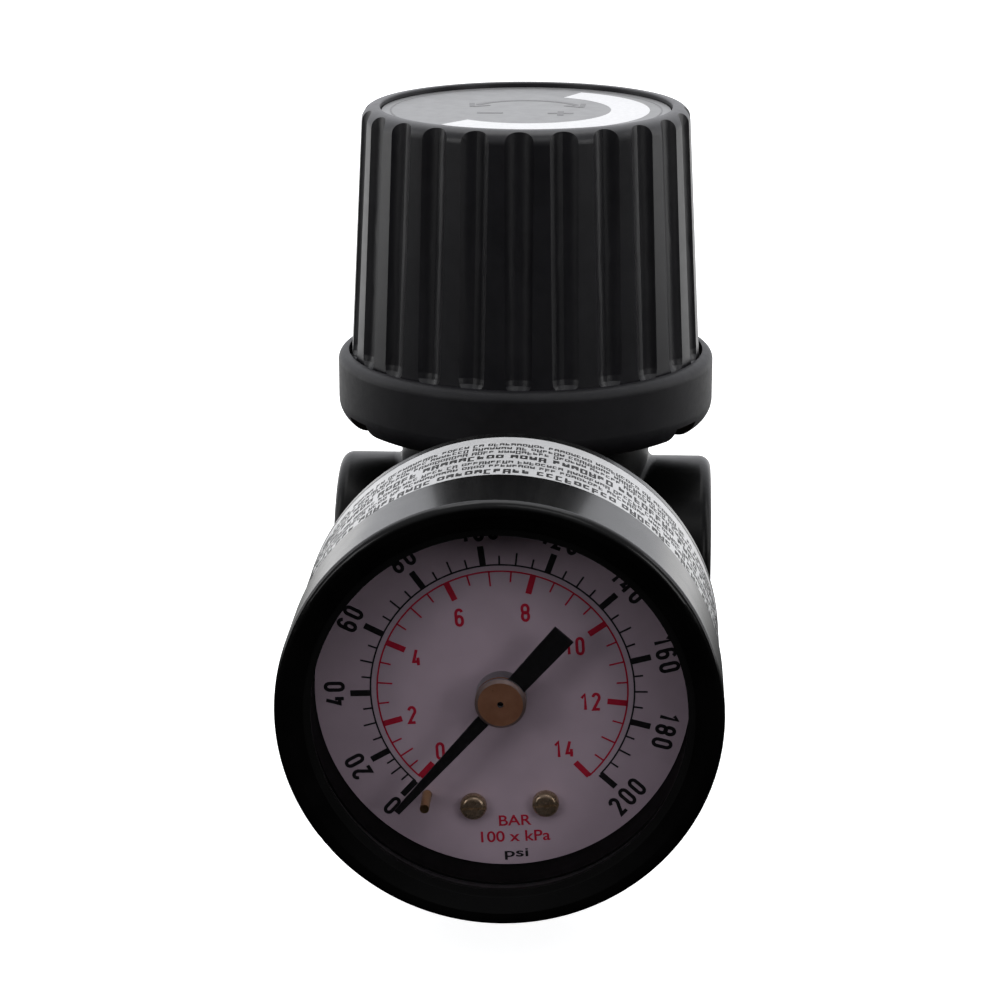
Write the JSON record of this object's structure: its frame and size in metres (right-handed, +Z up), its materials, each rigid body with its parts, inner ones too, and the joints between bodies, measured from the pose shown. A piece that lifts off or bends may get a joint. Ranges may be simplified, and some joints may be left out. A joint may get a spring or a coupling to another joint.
{
  "type": "air pressure regulator",
  "caption": "Compact compressed-air pressure regulator with two threaded side ports, a push-to-lock fluted knob on a spring bonnet and a round dial gauge on the front.",
  "frame": {"origin": "centre of the bottom valve plug's flat face, on the knob axis", "axes": "+Z up the knob axis, -Y out of the gauge's face, +X out of the outlet port"},
  "size_m": [0.0422, 0.0817, 0.0747],
  "materials": {
    "black_zinc": "black semi-gloss paint on a zinc casting",
    "black_nylon": "black glass-filled nylon, fine moulded texture",
    "knob_badge": "silver disc with a lighter ring",
    "gauge_black": "black gloss enamel",
    "sticker_white": "white vinyl sticker",
    "lens_clear": "clear acrylic window",
    "dial_white": "matt white printed dial",
    "brass": "machined brass",
    "steel": "zinc-plated steel",
    "spring_steel": "drawn spring wire",
    "black_rubber": "moulded nitrile rubber",
    "white_nylon": "natural nylon",
    "pointer_black": "matt black enamel",
    "zinc_plain": "plain die-cast zinc"
  },
  "bodies": {
    "root": {"body": "black_zinc", "bottom_plug": "brass", "plug_o_ring": "black_rubber", "valve_seat": "brass", "valve_spring": "spring_steel", "diaphragm": "black_rubber", "slip_ring": "white_nylon", "bonnet": "black_nylon", "thrust_washer": "steel", "range_spring": "spring_steel", "gauge_port_plug": "steel", "gauge_socket": "brass", "gauge_case": "gauge_black", "case_label": "sticker_white", "bezel": "gauge_black", "lens": "lens_clear", "lens_gasket": "black_rubber", "dial": "dial_white", "dial_screws": "steel", "stop_pin": "brass", "movement_back_plate": "brass", "movement_front_plate": "brass", "movement_pillars": "brass", "movement_screws": "steel", "dial_posts": "brass", "hairspring": "spring_steel", "bourdon_tube": "brass", "tube_tip": "brass", "case_screws": "steel"},
    "adjuster": {"adjusting_screw": "steel"},
    "knob": {"knob": "black_nylon", "knob_label": "knob_badge"},
    "nut": {"spring_nut": "zinc_plain"},
    "diaphragm_stack": {"diaphragm_plate": "steel", "relief_seat": "brass", "diaphragm_nut": "steel"},
    "valve": {"poppet": "brass", "poppet_seal": "black_rubber"},
    "pointer": {"pointer": "pointer_black", "pointer_hub": "brass", "pinion": "brass"},
    "sector": {"sector_gear": "brass"},
    "link": {"link": "brass"}
  },
  "joints": [
    {"name": "knob_turn", "type": "hinge", "parent": "root", "child": "adjuster", "pos_m": [0, 0, 0.07], "axis": [0, 0, -1], "range_deg": [0, 2160]},
    {"name": "knob_pull", "type": "slide", "parent": "adjuster", "child": "knob", "axis": [0, 0, 1], "range_m": [0, 0.0025]},
    {"name": "nut_travel", "type": "slide", "parent": "root", "child": "nut", "axis": [0, 0, -1], "range_m": [0, 0.00602], "deforming": ["range_spring"]},
    {"name": "diaphragm_travel", "type": "slide", "parent": "root", "child": "diaphragm_stack", "axis": [0, 0, -1], "range_m": [0, 0.0012], "stiffness_N_per_m": 600, "springref_m": -0.0006, "deforming": ["diaphragm"]},
    {"name": "valve_travel", "type": "slide", "parent": "root", "child": "valve", "axis": [0, 0, -1], "range_m": [0, 0.00121], "deforming": ["valve_spring"]},
    {"name": "pointer_turn", "type": "hinge", "parent": "root", "child": "pointer", "pos_m": [0, -0.0562, 0.027], "axis": [0, 1, 0], "range_deg": [0, 270], "stiffness_Nm_per_rad": 0.00002, "springref_deg": -34.38},
    {"name": "sector_turn", "type": "hinge", "parent": "root", "child": "sector", "pos_m": [0.00066, -0.047, 0.01617], "axis": [0, -1, 0], "range_deg": [0, 34]},
    {"name": "link_turn", "type": "hinge", "parent": "sector", "child": "link", "pos_m": [-0.00026, -0.0478, 0.01228], "axis": [0, -1, 0], "range_deg": [-34, 0]}
  ],
  "couplings": [
    {"joint": "nut_travel", "follows": "knob_turn", "m_per_rad": 0.00015915},
    {"joint": "valve_travel", "follows": "diaphragm_travel", "ratio": 1},
    {"joint": "sector_turn", "follows": "pointer_turn", "ratio": 0.125},
    {"joint": "link_turn", "follows": "pointer_turn", "ratio": -0.125}
  ]
}
